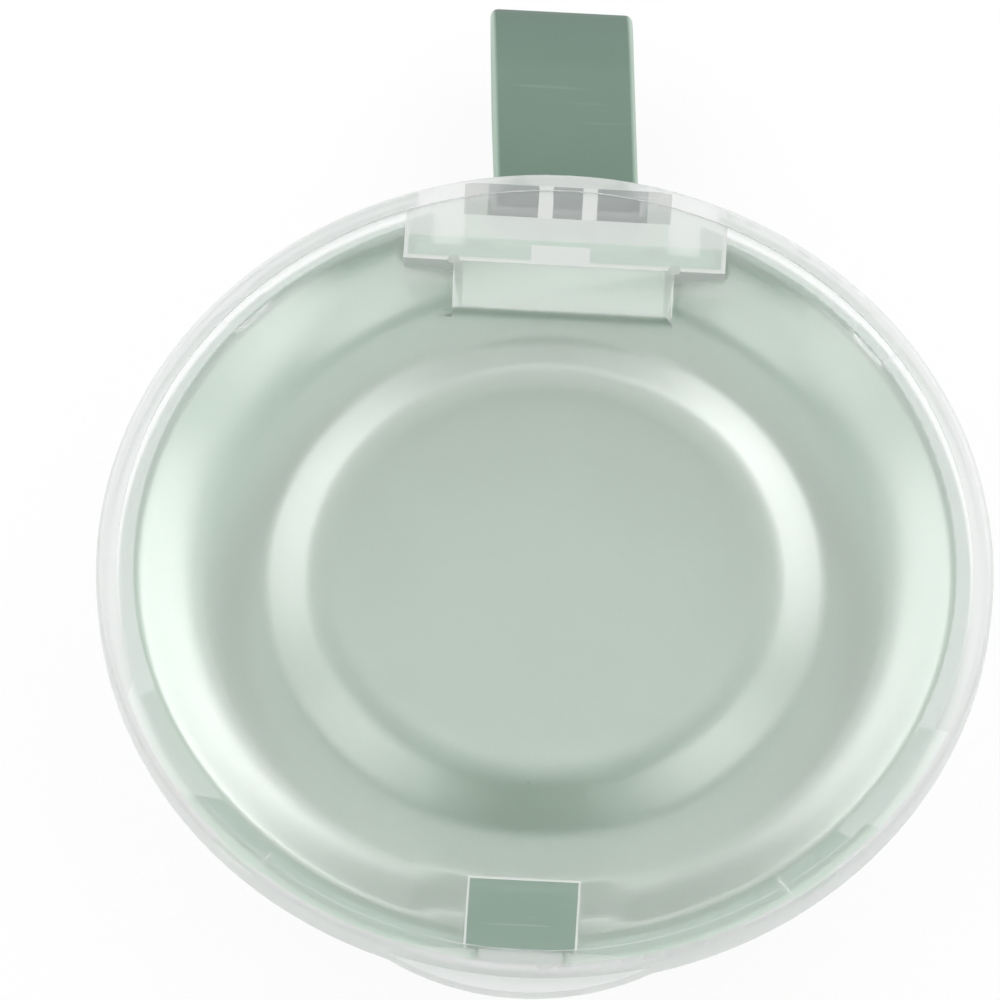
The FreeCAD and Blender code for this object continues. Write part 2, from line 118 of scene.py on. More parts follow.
def seenRays(tree):
    # 1 for rays from the lens, straight or by way of a gloss or a clear wall
    path = tree.nodes.new("ShaderNodeLightPath")
    found = path.outputs["Is Camera Ray"]
    for label in ("Is Glossy Ray", "Is Transmission Ray"):
        either = tree.nodes.new("ShaderNodeMath")
        either.operation = "MAXIMUM"
        tree.links.new(found, either.inputs[0])
        tree.links.new(path.outputs[label], either.inputs[1])
        found = either.outputs["Value"]
    first = tree.nodes.new("ShaderNodeMath")  # light that a matt face sends on stays the room's own
    first.operation = "LESS_THAN"
    first.inputs[1].default_value = 0.5
    both = tree.nodes.new("ShaderNodeMath")
    both.operation = "MULTIPLY"
    tree.links.new(path.outputs["Diffuse Depth"], first.inputs[0])
    tree.links.new(found, both.inputs[0])
    tree.links.new(first.outputs["Value"], both.inputs[1])
    return both.outputs["Value"]


def makeLights(v):
    for name, place, width, height, roll, watts in v["boxes"]:
        deselectAll()
        bpy.ops.object.light_add(type="AREA", location=place)
        lamp = bpy.context.object
        lamp.name = name
        lamp.data.shape = "RECTANGLE"
        lamp.data.size = width
        lamp.data.size_y = height
        lamp.data.energy = watts
        lamp.rotation_mode = "QUATERNION"
        turn = (Vector(v["aim"]) - Vector(place)).to_track_quat("-Z", "Y")
        lamp.rotation_quaternion = turn @ Quaternion((0, 0, 1), math.radians(roll))
    world = bpy.data.worlds.new("paleRoom")
    bpy.context.scene.world = world
    world.use_nodes = True
    tree = world.node_tree
    tree.nodes.clear()
    out = tree.nodes.new("ShaderNodeOutputWorld")
    room = tree.nodes.new("ShaderNodeBackground")
    coord = tree.nodes.new("ShaderNodeTexCoord")
    near = tree.nodes.new("ShaderNodeVectorMath")
    near.operation = "DOT_PRODUCT"
    near.inputs[1].default_value = Vector(v["gapAxis"]).normalized()
    level = tree.nodes.new("ShaderNodeMapRange")
    level.interpolation_type = "SMOOTHSTEP"
    level.inputs["From Min"].default_value = math.cos(math.radians(v["gapOuter"]))
    level.inputs["From Max"].default_value = math.cos(math.radians(v["gapInner"]))
    level.inputs["To Min"].default_value = v["tentLevel"]
    level.inputs["To Max"].default_value = v["gapLevel"]
    tree.links.new(coord.outputs["Generated"], near.inputs[0])
    tree.links.new(near.outputs["Value"], level.inputs["Value"])
    tree.links.new(level.outputs["Result"], room.inputs["Strength"])
    tree.links.new(room.outputs["Background"], out.inputs["Surface"])


makeLights(lightValues)
bpy.context.scene.view_settings.view_transform = "Standard"

# floor: plain, nearly white
floorValues = {
    "half": 3.0, "level": -0.0001,
    "colour": (0.93, 0.93, 0.93, 1.0), "roughness": 0.9, "gloss": 0.1,
    "white": 1.0, "whiteShare": 0.9,  # part of the white that the lens sees
}


def makeFloor(v):
    deselectAll()
    bpy.ops.mesh.primitive_plane_add(size=2 * v["half"], location=(0, 0, v["level"]))
    floor = bpy.context.object
    floor.name = "paleFloor"
    mat = bpy.data.materials.new("floorPaint")
    mat.use_nodes = True
    tree = mat.node_tree
    shader = tree.nodes["Principled BSDF"]
    shader.inputs["Base Color"].default_value = v["colour"]
    shader.inputs["Roughness"].default_value = v["roughness"]
    shader.inputs["Specular IOR Level"].default_value = v["gloss"]
    white = tree.nodes.new("ShaderNodeEmission")
    white.inputs["Strength"].default_value = v["white"]
    share = tree.nodes.new("ShaderNodeMath")
    share.operation = "MULTIPLY"
    share.inputs[1].default_value = v["whiteShare"]
    mix = tree.nodes.new("ShaderNodeMixShader")
    tree.links.new(seenRays(tree), share.inputs[0])
    tree.links.new(share.outputs["Value"], mix.inputs["Fac"])
    tree.links.new(shader.outputs["BSDF"], mix.inputs[1])
    tree.links.new(white.outputs["Emission"], mix.inputs[2])
    tree.links.new(mix.outputs["Shader"], tree.nodes["Material Output"].inputs["Surface"])
    floor.data.materials.append(mat)


makeFloor(floorValues)
print("light and floor set")


# shared surface effects
def newGroup(name, inputs, outputs):
    tree = bpy.data.node_groups.new(name, "ShaderNodeTree")
    for label, value in inputs:
        socket = tree.interface.new_socket(label, in_out="INPUT", socket_type="NodeSocketFloat")
        socket.default_value = value
    for label in outputs:
        tree.interface.new_socket(label, in_out="OUTPUT", socket_type="NodeSocketFloat")
    return tree, tree.nodes.new("NodeGroupInput"), tree.nodes.new("NodeGroupOutput")


def node(tree, kind, **settings):
    made = tree.nodes.new("ShaderNode" + kind)
    for key, value in settings.items():
        setattr(made, key, value)
    return made


grainValues = {"coarse": 900.0, "fine": 3200.0, "drift": 45.0, "fineShare": 0.45, "detail": 2.0}


def makeGrainGroup(v):
    # fine moulded grain: a soft noise with a finer one on it, and a slow drift
    tree, gin, gout = newGroup("mouldedGrain", (
        ("Coarse", v["coarse"]), ("Fine", v["fine"]), ("Drift", v["drift"])), ("Height", "Cloud"))
    coord = node(tree, "TexCoord")
    sums = node(tree, "Math", operation="MULTIPLY_ADD")
    sums.inputs[1].default_value = v["fineShare"]
    links = tree.links
    made = {}
    for label in ("Coarse", "Fine", "Drift"):
        noise = node(tree, "TexNoise")
        noise.inputs["Detail"].default_value = v["detail"]
        links.new(coord.outputs["Object"], noise.inputs["Vector"])
        links.new(gin.outputs[label], noise.inputs["Scale"])
        made[label] = noise
    links.new(made["Fine"].outputs["Fac"], sums.inputs[0])
    links.new(made["Coarse"].outputs["Fac"], sums.inputs[2])
    links.new(sums.outputs["Value"], gout.inputs["Height"])
    links.new(made["Drift"].outputs["Fac"], gout.inputs["Cloud"])
    return tree


scuffValues = {
    "length": 40.0, "amount": 0.5, "detail": 1.0,
    "runs": ((0.5, 14.0), (-0.9, 18.0)),  # turn and stretch of each set of scratches
    "scratchFrom": 0.70, "scratchTo": 0.76,
    "speckScale": 170.0, "speckSize": 0.06, "speckRare": 0.86,
}


def makeScuffGroup(v):
    # fine handling marks: thin crossing scratches and a few specks
    tree, gin, gout = newGroup("handlingScuffs", (
        ("Length", v["length"]), ("Amount", v["amount"]),
        ("Speck Scale", v["speckScale"]), ("Speck Size", v["speckSize"])), ("Scratch", "Speck"))
    links = tree.links
    coord = node(tree, "TexCoord")
    found = []
    for turn, stretch in v["runs"]:
        place = node(tree, "Mapping")
        place.inputs["Rotation"].default_value = (0.0, 0.0, turn)
        place.inputs["Scale"].default_value = (1.0, stretch, 1.0)
        noise = node(tree, "TexNoise")
        noise.inputs["Detail"].default_value = v["detail"]
        ramp = node(tree, "ValToRGB")
        ramp.color_ramp.elements[0].position = v["scratchFrom"]
        ramp.color_ramp.elements[0].color = (0, 0, 0, 1)
        ramp.color_ramp.elements[1].position = v["scratchTo"]
        ramp.color_ramp.elements[1].color = (1, 1, 1, 1)
        links.new(coord.outputs["Object"], place.inputs["Vector"])
        links.new(place.outputs["Vector"], noise.inputs["Vector"])
        links.new(gin.outputs["Length"], noise.inputs["Scale"])
        links.new(noise.outputs["Fac"], ramp.inputs["Fac"])
        found.append(ramp)
    top = node(tree, "Math", operation="MAXIMUM")
    weak = node(tree, "Math", operation="MULTIPLY")
    links.new(found[0].outputs["Color"], top.inputs[0])
    links.new(found[1].outputs["Color"], top.inputs[1])
    links.new(top.outputs["Value"], weak.inputs[0])
    links.new(gin.outputs["Amount"], weak.inputs[1])
    links.new(weak.outputs["Value"], gout.inputs["Scratch"])
    cells = node(tree, "TexVoronoi")
    less = node(tree, "Math", operation="LESS_THAN")
    rare = node(tree, "Math", operation="GREATER_THAN")
    rare.inputs[1].default_value = v["speckRare"]
    both = node(tree, "Math", operation="MULTIPLY")
    split = node(tree, "SeparateColor")
    links.new(coord.outputs["Object"], cells.inputs["Vector"])
    links.new(gin.outputs["Speck Scale"], cells.inputs["Scale"])
    links.new(cells.outputs["Distance"], less.inputs[0])
    links.new(gin.outputs["Speck Size"], less.inputs[1])
    links.new(cells.outputs["Color"], split.inputs["Color"])
    links.new(split.outputs["Red"], rare.inputs[0])
    links.new(less.outputs["Value"], both.inputs[0])
    links.new(rare.outputs["Value"], both.inputs[1])
    links.new(both.outputs["Value"], gout.inputs["Speck"])
    return tree


grainGroup = makeGrainGroup(grainValues)
scuffGroup = makeScuffGroup(scuffValues)


def plasticMaterial(v):
    # moulded plastic or rubber: two close colours, grain bump, scuffs in colour and gloss
    mat = bpy.data.materials.new(v["name"])
    mat.use_nodes = True
    tree = mat.node_tree
    links = tree.links
    shader = tree.nodes["Principled BSDF"]
    grain = node(tree, "Group", node_tree=grainGroup)
    for label, key in (("Coarse", "coarse"), ("Fine", "fine"), ("Drift", "drift")):
        grain.inputs[label].default_value = v[key]
    scuff = node(tree, "Group", node_tree=scuffGroup)
    for label, key in (("Length", "scratchLength"), ("Amount", "scratchAmount"),
                       ("Speck Scale", "speckScale"), ("Speck Size", "speckSize")):
        scuff.inputs[label].default_value = v[key]
    tone = node(tree, "Mix", data_type="RGBA")
    tone.inputs["A"].default_value = v["colourLow"]
    tone.inputs["B"].default_value = v["colourHigh"]
    links.new(grain.outputs["Cloud"], tone.inputs["Factor"])
    below = tone
    for mark, key in (("Scratch", "scratchColour"), ("Speck", "speckColour")):
        over = node(tree, "Mix", data_type="RGBA")
        over.inputs["B"].default_value = v[key]
        links.new(below.outputs["Result"], over.inputs["A"])
        links.new(scuff.outputs[mark], over.inputs["Factor"])
        below = over
    links.new(below.outputs["Result"], shader.inputs["Base Color"])
    gloss = node(tree, "MapRange")
    gloss.inputs["To Min"].default_value = v["roughLow"]
    gloss.inputs["To Max"].default_value = v["roughHigh"]
    links.new(grain.outputs["Cloud"], gloss.inputs["Value"])
    links.new(gloss.outputs["Result"], shader.inputs["Roughness"])
    bump = node(tree, "Bump")
    bump.inputs["Strength"].default_value = v["bump"]
    bump.inputs["Distance"].default_value = v["bumpDistance"]
    links.new(grain.outputs["Height"], bump.inputs["Height"])
    links.new(bump.outputs["Normal"], shader.inputs["Normal"])
    for label, value in v["shader"].items():
        shader.inputs[label].default_value = value
    return mat, shader


def dress(name, mat):
    for place in nodes[name].material_slots:
        place.material = mat


# dish: satin sage plastic
dishValues = {
    "name": "sagePlastic",
    "colourLow": srgb(168, 200, 176), "colourHigh": srgb(176, 206, 183),
    "coarse": 700.0, "fine": 2600.0, "drift": 30.0,
    "scratchLength": 60.0, "scratchAmount": 0.12, "scratchColour": srgb(190, 207, 196),
    "speckScale": 120.0, "speckSize": 0.03, "speckColour": srgb(120, 140, 128),
    "roughLow": 0.30, "roughHigh": 0.42,
    "bump": 0.10, "bumpDistance": 0.0001,
    "shader": {"IOR": 1.49},
}
dress("base_dish", plasticMaterial(dishValues)[0])

# seal: softer green rubber
sealValues = {
    "name": "sealRubber",
    "colourLow": srgb(132, 160, 144), "colourHigh": srgb(142, 169, 153),
    "coarse": 900.0, "fine": 3000.0, "drift": 60.0,
    "scratchLength": 60.0, "scratchAmount": 0.1, "scratchColour": srgb(150, 170, 158),
    "speckScale": 200.0, "speckSize": 0.03, "speckColour": srgb(150, 170, 158),
    "roughLow": 0.5, "roughHigh": 0.65,
    "bump": 0.15, "bumpDistance": 0.0001,
    "shader": {"IOR": 1.42},
}
dress("rim_seal", plasticMaterial(sealValues)[0])

# strap: matte silicone, with a painted highlight along its side edges and painted shade at its far fold
strapValues = {
    "name": "strapSilicone",
    "colourLow": srgb(110, 133, 120), "colourHigh": srgb(117, 140, 127),
    "coarse": 1400.0, "fine": 4200.0, "drift": 55.0,
    "scratchLength": 55.0, "scratchAmount": 0.18, "scratchColour": srgb(150, 170, 158),
    "speckScale": 260.0, "speckSize": 0.05, "speckColour": srgb(160, 178, 166),
    "roughLow": 0.6, "roughHigh": 0.72,
    "bump": 0.18, "bumpDistance": 0.0001,
    "shader": {"IOR": 1.42},
    # painted shade: darker towards the far fold; painted highlight: paler along the side edges
    "foldFrom": 0.0740, "foldTo": 0.0850, "foldColour": srgb(92, 112, 101),
    "edgeName": "acrossBand", "edgeFrom": 0.92, "edgeTo": 0.97, "edgeColour": srgb(172, 191, 178),
}
strapMat, strapShader = plasticMaterial(strapValues)


def shadeStrap(mat, shader, v):
    # painted shade on the far fold by its place along the band, painted highlights on the side edges by the
    # band's own attribute
    tree = mat.node_tree
    links = tree.links
    where = node(tree, "TexCoord")
    parts = node(tree, "SeparateXYZ")
    links.new(where.outputs["Object"], parts.inputs["Vector"])
    edge = node(tree, "Attribute", attribute_name=v["edgeName"])
    below = shader.inputs["Base Color"].links[0].from_socket
    for place, key in ((parts.outputs["Y"], "fold"), (edge.outputs["Fac"], "edge")):
        reach = node(tree, "MapRange")
        reach.inputs["From Min"].default_value = v[key + "From"]
        reach.inputs["From Max"].default_value = v[key + "To"]
        blend = node(tree, "Mix", data_type="RGBA")
        blend.inputs["B"].default_value = v[key + "Colour"]
        links.new(place, reach.inputs["Value"])
        links.new(reach.outputs["Result"], blend.inputs["Factor"])
        links.new(below, blend.inputs["A"])
        below = blend.outputs["Result"]
    links.new(below, shader.inputs["Base Color"])


shadeStrap(strapMat, strapShader, strapValues)
dress("strap_loop", strapMat)

# pins: pale hard plastic
pinValues = {
    "name": "pinPlastic",
    "colourLow": srgb(214, 219, 214), "colourHigh": srgb(224, 228, 223),
    "coarse": 1200.0, "fine": 4000.0, "drift": 80.0,
    "scratchLength": 120.0, "scratchAmount": 0.2, "scratchColour": srgb(196, 202, 197),
    "speckScale": 300.0, "speckSize": 0.03, "speckColour": srgb(180, 188, 182),
    "roughLow": 0.3, "roughHigh": 0.42,
    "bump": 0.08, "bumpDistance": 0.0001,
    "shader": {"IOR": 1.49},
}
pinMat = plasticMaterial(pinValues)[0]
dress("hinge_pin", pinMat)
dress("strap_bar", pinMat)
print("dish, seal and pins dressed")

# lid: frosted translucent plastic, milkier in its rim and over the hinge than in its pane, with painted shade
# greying the plate over the hinge
lidValues = {
    "smoothAngle": 32.0,
    "lampTint": (0.92, 0.93, 0.925, 1.0),
    # how squarely a face looks up or forward to count as level, as a wall, or as part of the bowl
    "levelFacing": 0.99, "wallFacing": 0.9, "bowlFacing": 0.8,
    "levels": 0.0262, "split": 0.034,  # height from which level faces are cut, and where front and back begin
    "rimFrom": 0.05145,
    "bandFrom": 0.0495, "bandTop": 0.02785, "clearFront": (-0.0200, -0.0330),
    # boxes: low x, high x, low y, high y
    "boss": (-0.0067, 0.0067, -0.0512, -0.0420), "bossLine": 0.00026,  # latch boss, and its pale outline painted as a highlight on the boss's edges
    "cap": (-0.0197, 0.0197, 0.0411, 0.0520), "capFront": 0.0444, "hookLine": 0.0005,  # plate over the hinge, greyed by painted shade, and the width of its pale outline, a painted highlight
    "capWall": 0.0250, "capBehind": 0.0005,
    "pad": (-0.0041, 0.0031, 0.0412, 0.0437),  # paler small rectangle on the plate
    "barrel": (-0.0098, 0.0098, 0.0476, 0.0519),  # plate over the hinge barrel, darkened with painted shade
    "ears": 0.0127,  # how far its greyer ends reach over the hinge arms, grey with painted shade
    "ribs": (0.0018, 0.0036), "ribsFrom": 0.0460,
    # facet in front of the hinge: half width, foot and its height
    "facet": (0.0135, 0.0365, 0.0231), "facetRound": 0.0008, "roundSteps": 4, "edgeMatch": 3e-5,
    # the bowl in millimetres, radius and height: as moulded, and eased from the mouth to the trough
    "moulded": ((36.0, 23.10), (38.9, 23.10), (40.0, 23.23), (41.3, 23.75), (46.6, 26.88), (47.8, 27.42),
                (48.6, 27.61), (49.6, 27.70)),
    "eased": ((34.5, 23.10), (36.0, 23.10), (37.5, 23.15), (39.0, 23.27), (40.0, 23.41), (41.0, 23.62),
              (42.0, 23.93), (43.0, 24.30), (44.2, 24.87), (45.5, 25.57), (47.0, 26.47), (48.6, 27.43),
              (49.1, 27.64), (49.6, 27.70), (51.0, 27.70)),
    "wall": 1.2, "near": 0.15,
    "bowlCuts": 2, "bowlSpare": (0.002, 0.0005), "mouthMatch": 1e-5,
    "keepBack": (0.0205, 0.0360, 0.0200, 0.0340),  # half width and depth of what stays round the hinge
    "keepFront": (0.0080, 0.0140),
}
paneValues = {
    "name": "frostedPane",
    "colourLow": (0.95, 0.97, 0.96, 1.0), "colourHigh": (0.98, 0.99, 0.985, 1.0),
    "coarse": 1500.0, "fine": 5200.0, "drift": 40.0,
    "scratchLength": 70.0, "scratchAmount": 0.10, "scratchColour": (1.0, 1.0, 1.0, 1.0),
    "speckScale": 90.0, "speckSize": 0.022, "speckColour": (0.70, 0.76, 0.72, 1.0),
    "roughLow": 0.30, "roughHigh": 0.35,
    "bump": 0.06, "bumpDistance": 0.0001,
    "shader": {
        "IOR": 1.45, "Transmission Weight": 1.0, "Coat Weight": 1.0, "Coat Roughness": 0.30, "Coat IOR": 2.4},
}


def finish(name, through, coat, coatIor, low=paneValues["colourLow"], high=paneValues["colourHigh"]):
    # the pane's grain and scuffs, with a clearness, coat and colours of its own
    shader = dict(paneValues["shader"])
    shader["Transmission Weight"] = through
    shader["Coat Weight"] = coat
    shader["Coat IOR"] = coatIor
    return dict(paneValues, name=name, colourLow=low, colourHigh=high, shader=shader)


lidFinishes = {
    "pane": paneValues,
    "rim": finish("frostedRim", 0.60, 0.5, 1.5, (0.79, 0.80, 0.795, 1.0), (0.82, 0.825, 0.82, 1.0)),
    # painted shade: a dark green pane over the latch boss, standing in for the boss and dish seen in shade
    # through the lid
    "latchShade": dict(
        paneValues, name="latchShadeWindow", roughLow=0.44, roughHigh=0.50,
        colourLow=(0.28, 0.375, 0.32, 1.0), colourHigh=(0.31, 0.41, 0.35, 1.0),
        shader={"IOR": 1.33, "Transmission Weight": 0.30, "Coat Weight": 0.0}),
    # milkier plastic over the hinge, greyed with painted shade of the hollow beneath
    "cap": finish("milkyCapWithShade", 0.28, 0.5, 1.5, (0.66, 0.69, 0.67, 1.0), (0.71, 0.74, 0.72, 1.0)),
    # part real milky ribs, part the pale outlines of the latch boss and hinge plate, painted as highlights on
    # their edges
    "ribAndHighlight": finish("milkyRibAndEdgeHighlight", 0.15, 0.3, 1.5, (0.64, 0.66, 0.64, 1.0), (0.70, 0.72, 0.70, 1.0)),
    # painted shade: dark grey over the hinge barrel and the hollow under it
    "barrel": finish("barrelShadeCap", 0.50, 0.5, 1.5, (0.37, 0.385, 0.385, 1.0), (0.44, 0.455, 0.455, 1.0)),
    "band": finish("frostedBand", 0.65, 1.0, 2.0),
    # painted shade: grey over the hinge arms
    "earShade": finish("earShadeCap", 0.30, 0.5, 1.5, (0.52, 0.53, 0.52, 1.0), (0.57, 0.58, 0.57, 1.0)),
    "clearBand": finish("clearBand", 0.92, 0.5, 1.5),
    "paleCap": finish("paleCap", 0.40, 0.5, 1.5, (0.62, 0.70, 0.65, 1.0), (0.66, 0.74, 0.69, 1.0)),
    "softBand": finish("softBand", 0.77, 0.75, 1.7),
}


def letLampsThrough(mat, shader, tint):
    # lamps reach the inside through the lid
    tree = mat.node_tree
    clear = node(tree, "BsdfTransparent")
    clear.inputs["Color"].default_value = tint
    path = node(tree, "LightPath")
    mix = node(tree, "MixShader")
    tree.links.new(path.outputs["Is Shadow Ray"], mix.inputs["Fac"])
    tree.links.new(shader.outputs["BSDF"], mix.inputs[1])
    tree.links.new(clear.outputs["BSDF"], mix.inputs[2])
    tree.links.new(mix.outputs["Shader"], tree.nodes["Material Output"].inputs["Surface"])


def copyOf(name, label):
    # a joined-up copy of a node, as its own piece
    piece = bpy.data.objects.new(label, nodes[name].data.copy())
    bpy.context.scene.collection.objects.link(piece)
    deselectAll()
    piece.select_set(True)
    bpy.context.view_layer.objects.active = piece
    bpy.ops.mesh.customdata_custom_splitnormals_clear()
    bpy.ops.object.mode_set(mode="EDIT")
    bpy.ops.mesh.select_all(action="SELECT")
    bpy.ops.mesh.remove_doubles(threshold=1e-6)
    bpy.ops.object.mode_set(mode="OBJECT")
    return piece


def cutFaces(piece, wanted, sides):
    # cuts the wanted faces along upright planes, each at x or y
    for axis, side in sides:
        clearPicks()
        for face in piece.data.polygons:
            face.select = wanted(face)
        bpy.ops.object.mode_set(mode="EDIT")
        bpy.ops.mesh.bisect(plane_co=(side, 0, 0) if axis == "x" else (0, side, 0),
                            plane_no=(1, 0, 0) if axis == "x" else (0, 1, 0))
        bpy.ops.object.mode_set(mode="OBJECT")


def ease(value, low, high):
    share = min(max((value - low) / (high - low), 0.0), 1.0)
    return share * share * (3 - 2 * share)


def along(line, at, smooth):
    # height of a line of points at a radius, straight or rounded between them
    step = max(i for i in range(len(line) - 1) if line[i][0] <= at)
    (r0, z0), (r1, z1) = line[step], line[step + 1]
    share = (at - r0) / (r1 - r0)
    if not smooth:
        return z0 + (z1 - z0) * share
    before, after = line[max(step - 1, 0)], line[min(step + 2, len(line) - 1)]
    slope0 = (z1 - before[1]) / (r1 - before[0]) * (r1 - r0)
    slope1 = (after[1] - z0) / (after[0] - r0) * (r1 - r0)
    square, cube = share ** 2, share ** 3
    return ((2 * cube - 3 * square + 1) * z0 + (cube - 2 * square + share) * slope0
            + (3 * square - 2 * cube) * z1 + (cube - square) * slope1)


def easeBowl(lid, v):
    # more rings on the slopes, then each point of either face moves up or down to the eased line
    first, last = v["moulded"][0][0] / 1000, v["moulded"][-1][0] / 1000
    inner, outer = first - v["bowlSpare"][0], last + v["bowlSpare"][1]
    clearPicks()
    for face in lid.data.polygons:
        spread = [lid.data.vertices[i].co.xy.length for i in face.vertices]
        slope = abs(face.normal.z) > v["bowlFacing"] and inner < min(spread) and max(spread) < outer
        face.select = slope and (face.center.y < v["keepBack"][2] or abs(face.center.x) > v["keepBack"][0])
    bpy.ops.object.mode_set(mode="EDIT")
    bpy.ops.mesh.subdivide(number_cuts=v["bowlCuts"])
    bpy.ops.object.mode_set(mode="OBJECT")
    for point in lid.data.vertices:
        out = point.co.xy.length
        if not first < out < last - v["mouthMatch"]:
            continue
        off = point.co.z * 1000 - along(v["moulded"], out * 1000, False)
        if min(abs(off), abs(off + v["wall"])) > v["near"]:
            continue
        lower = v["wall"] if off < -v["near"] else 0.0
        rise = (along(v["eased"], out * 1000, True) - lower) / 1000 - point.co.z
        back = max(ease(abs(point.co.x), *v["keepBack"][:2]), 1 - ease(point.co.y, *v["keepBack"][2:]))
        front = ease(abs(point.co.x), *v["keepFront"]) if point.co.y < 0 else 1.0
        point.co.z += rise * back * front


def softenFacet(lid, v):
    # rounds the sides and foot of the flat facet in front of the hinge
    half, foot, level = v["facet"]
    match = v["edgeMatch"]
    bpy.ops.object.mode_set(mode="EDIT")
    bpy.ops.mesh.select_mode(type="EDGE")
    bpy.ops.mesh.select_all(action="DESELECT")
    bpy.ops.object.mode_set(mode="OBJECT")
    for edge in lid.data.edges:
        ends = [lid.data.vertices[i].co for i in edge.vertices]
        on = all(abs((c.z - level) - (c.y - foot)) < match and abs(c.x) < half + match for c in ends)
        low = all(abs(c.z - level) < match for c in ends)
        side = all(abs(abs(c.x) - half) < match for c in ends) and ends[0].x * ends[1].x > 0
        edge.select = on and (low or side)
    bpy.ops.object.mode_set(mode="EDIT")
    bpy.ops.mesh.bevel(offset=v["facetRound"], segments=v["roundSteps"], affect="EDGES", clamp_overlap=False)
    bpy.ops.mesh.select_mode(type="VERT")
    bpy.ops.object.mode_set(mode="OBJECT")


def within(place, box):
    return box[0] < place.x < box[1] and box[2] < place.y < box[3]


def boxSides(box):
    return [("x", box[0]), ("x", box[1]), ("y", box[2]), ("y", box[3])]


def cutZones(lid, v):
    # cuts the level faces where one finish meets another
    low, high, front, back = v["boss"]
    line = v["bossLine"]
    sides = [("x", low), ("x", low + line), ("x", high - line), ("x", high)]
    sides += [("y", front), ("y", back - line), ("y", back)]
    cutFaces(
        lid, lambda face: abs(face.normal.z) > v["levelFacing"] and face.center.z > v["levels"]
        and face.center.y < -v["split"], sides)
    low, high, front, back = v["cap"]
    line = v["hookLine"]
    sides = [("x", low), ("x", high), ("y", front), ("y", v["capFront"])]
    sides += [("x", low + line), ("x", high - line), ("y", front + line)]
    sides += boxSides(v["barrel"])
    sides += [("x", -v["ears"]), ("x", v["ears"])]
    sides += [("x", way * place) for way in (-1, 1) for place in v["ribs"]]
    sides += boxSides(v["pad"])
    cutFaces(
        lid, lambda face: face.normal.z > v["levelFacing"] and face.center.z > v["levels"]
        and face.center.y > v["split"], sides)


def lidZone(lid, face, v):
    # which of the lid's finishes a face takes
    at = face.center
    out = at.xy.length
    level = abs(face.normal.z) > v["levelFacing"] and at.z > v["levels"]
    top = level and face.normal.z > 0
    onRib = v["ribs"][0] < abs(at.x) < v["ribs"][1]
    # the hinge plate's greyer ends and darker middle are painted shade
    if top and within(at, (-v["ears"], v["ears"], *v["barrel"][2:])):
        if abs(at.x) > v["barrel"][1]:
            return "earShade"
        return "ribAndHighlight" if onRib else "barrel"
    if top and out > v["bandFrom"] and at.y < v["clearFront"][0] and not within(at, v["boss"]):
        return "clearBand" if at.y < v["clearFront"][1] else "softBand"
    if min(lid.data.vertices[i].co.xy.length for i in face.vertices) > v["rimFrom"]:
        return "rim"
    # the latch boss: a painted-shade pane, ringed by a painted highlight
    if level and within(at, v["boss"]):
        low, high, front, back = v["boss"]
        line = v["bossLine"]
        return "latchShade" if within(at, (low + line, high - line, front, back - line)) else "ribAndHighlight"
    if top and within(at, v["pad"]):
        return "ribAndHighlight"
    if top and within(at, v["cap"]):
        low, high, front, back = v["cap"]
        line = v["hookLine"]
        # a pale outline round the plate, painted as a highlight on its edges
        if not within(at, (low + line, high - line, front + line, back)):
            return "ribAndHighlight"
        return "cap" if at.y > v["capFront"] else "paleCap"
    if top and at.z < v["bandTop"] and out > v["bandFrom"]:
        return "band"
    if face.normal.y < -v["wallFacing"] and at.z > v["capWall"] and at.y > v["cap"][2] - v["capBehind"]:
        return "cap"
    if onRib and at.y > v["ribsFrom"] and at.z < v["levels"]:
        return "ribAndHighlight"
    return "pane"


def makeLid(v):
    lid = copyOf("lid_shell", "lidShell")
    softenFacet(lid, v)
    easeBowl(lid, v)
    cutZones(lid, v)
    bpy.ops.object.shade_smooth_by_angle(angle=math.radians(v["smoothAngle"]))
    lid.data.materials.clear()
    for values in lidFinishes.values():
        mat, shader = plasticMaterial(values)
        letLampsThrough(mat, shader, v["lampTint"])
        lid.data.materials.append(mat)
    order = list(lidFinishes)
    for face in lid.data.polygons:
        face.material_index = order.index(lidZone(lid, face, v))
    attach(lid, "lid")
    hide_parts("lid_shell")
    print("lid made:", len(lid.data.polygons), "faces")


makeLid(lidValues)

# strap: a silicone band folded round its bar, leaning a little to the left
bandValues = {
    "bar": (0.0519, 0.0110), "fold": (0.0774, 0.0094),
    "barInside": 0.0018, "foldInside": 0.0070,
    "width": 0.0178, "wall": 0.0019, "join": 5e-5,
    "round": 0.0009, "roundSteps": 4, "roundFrom": 50.0, "smoothAngle": 40.0,
    "lean": 0.085, "runCuts": 8, "barSteps": 14, "foldSteps": 24,
}


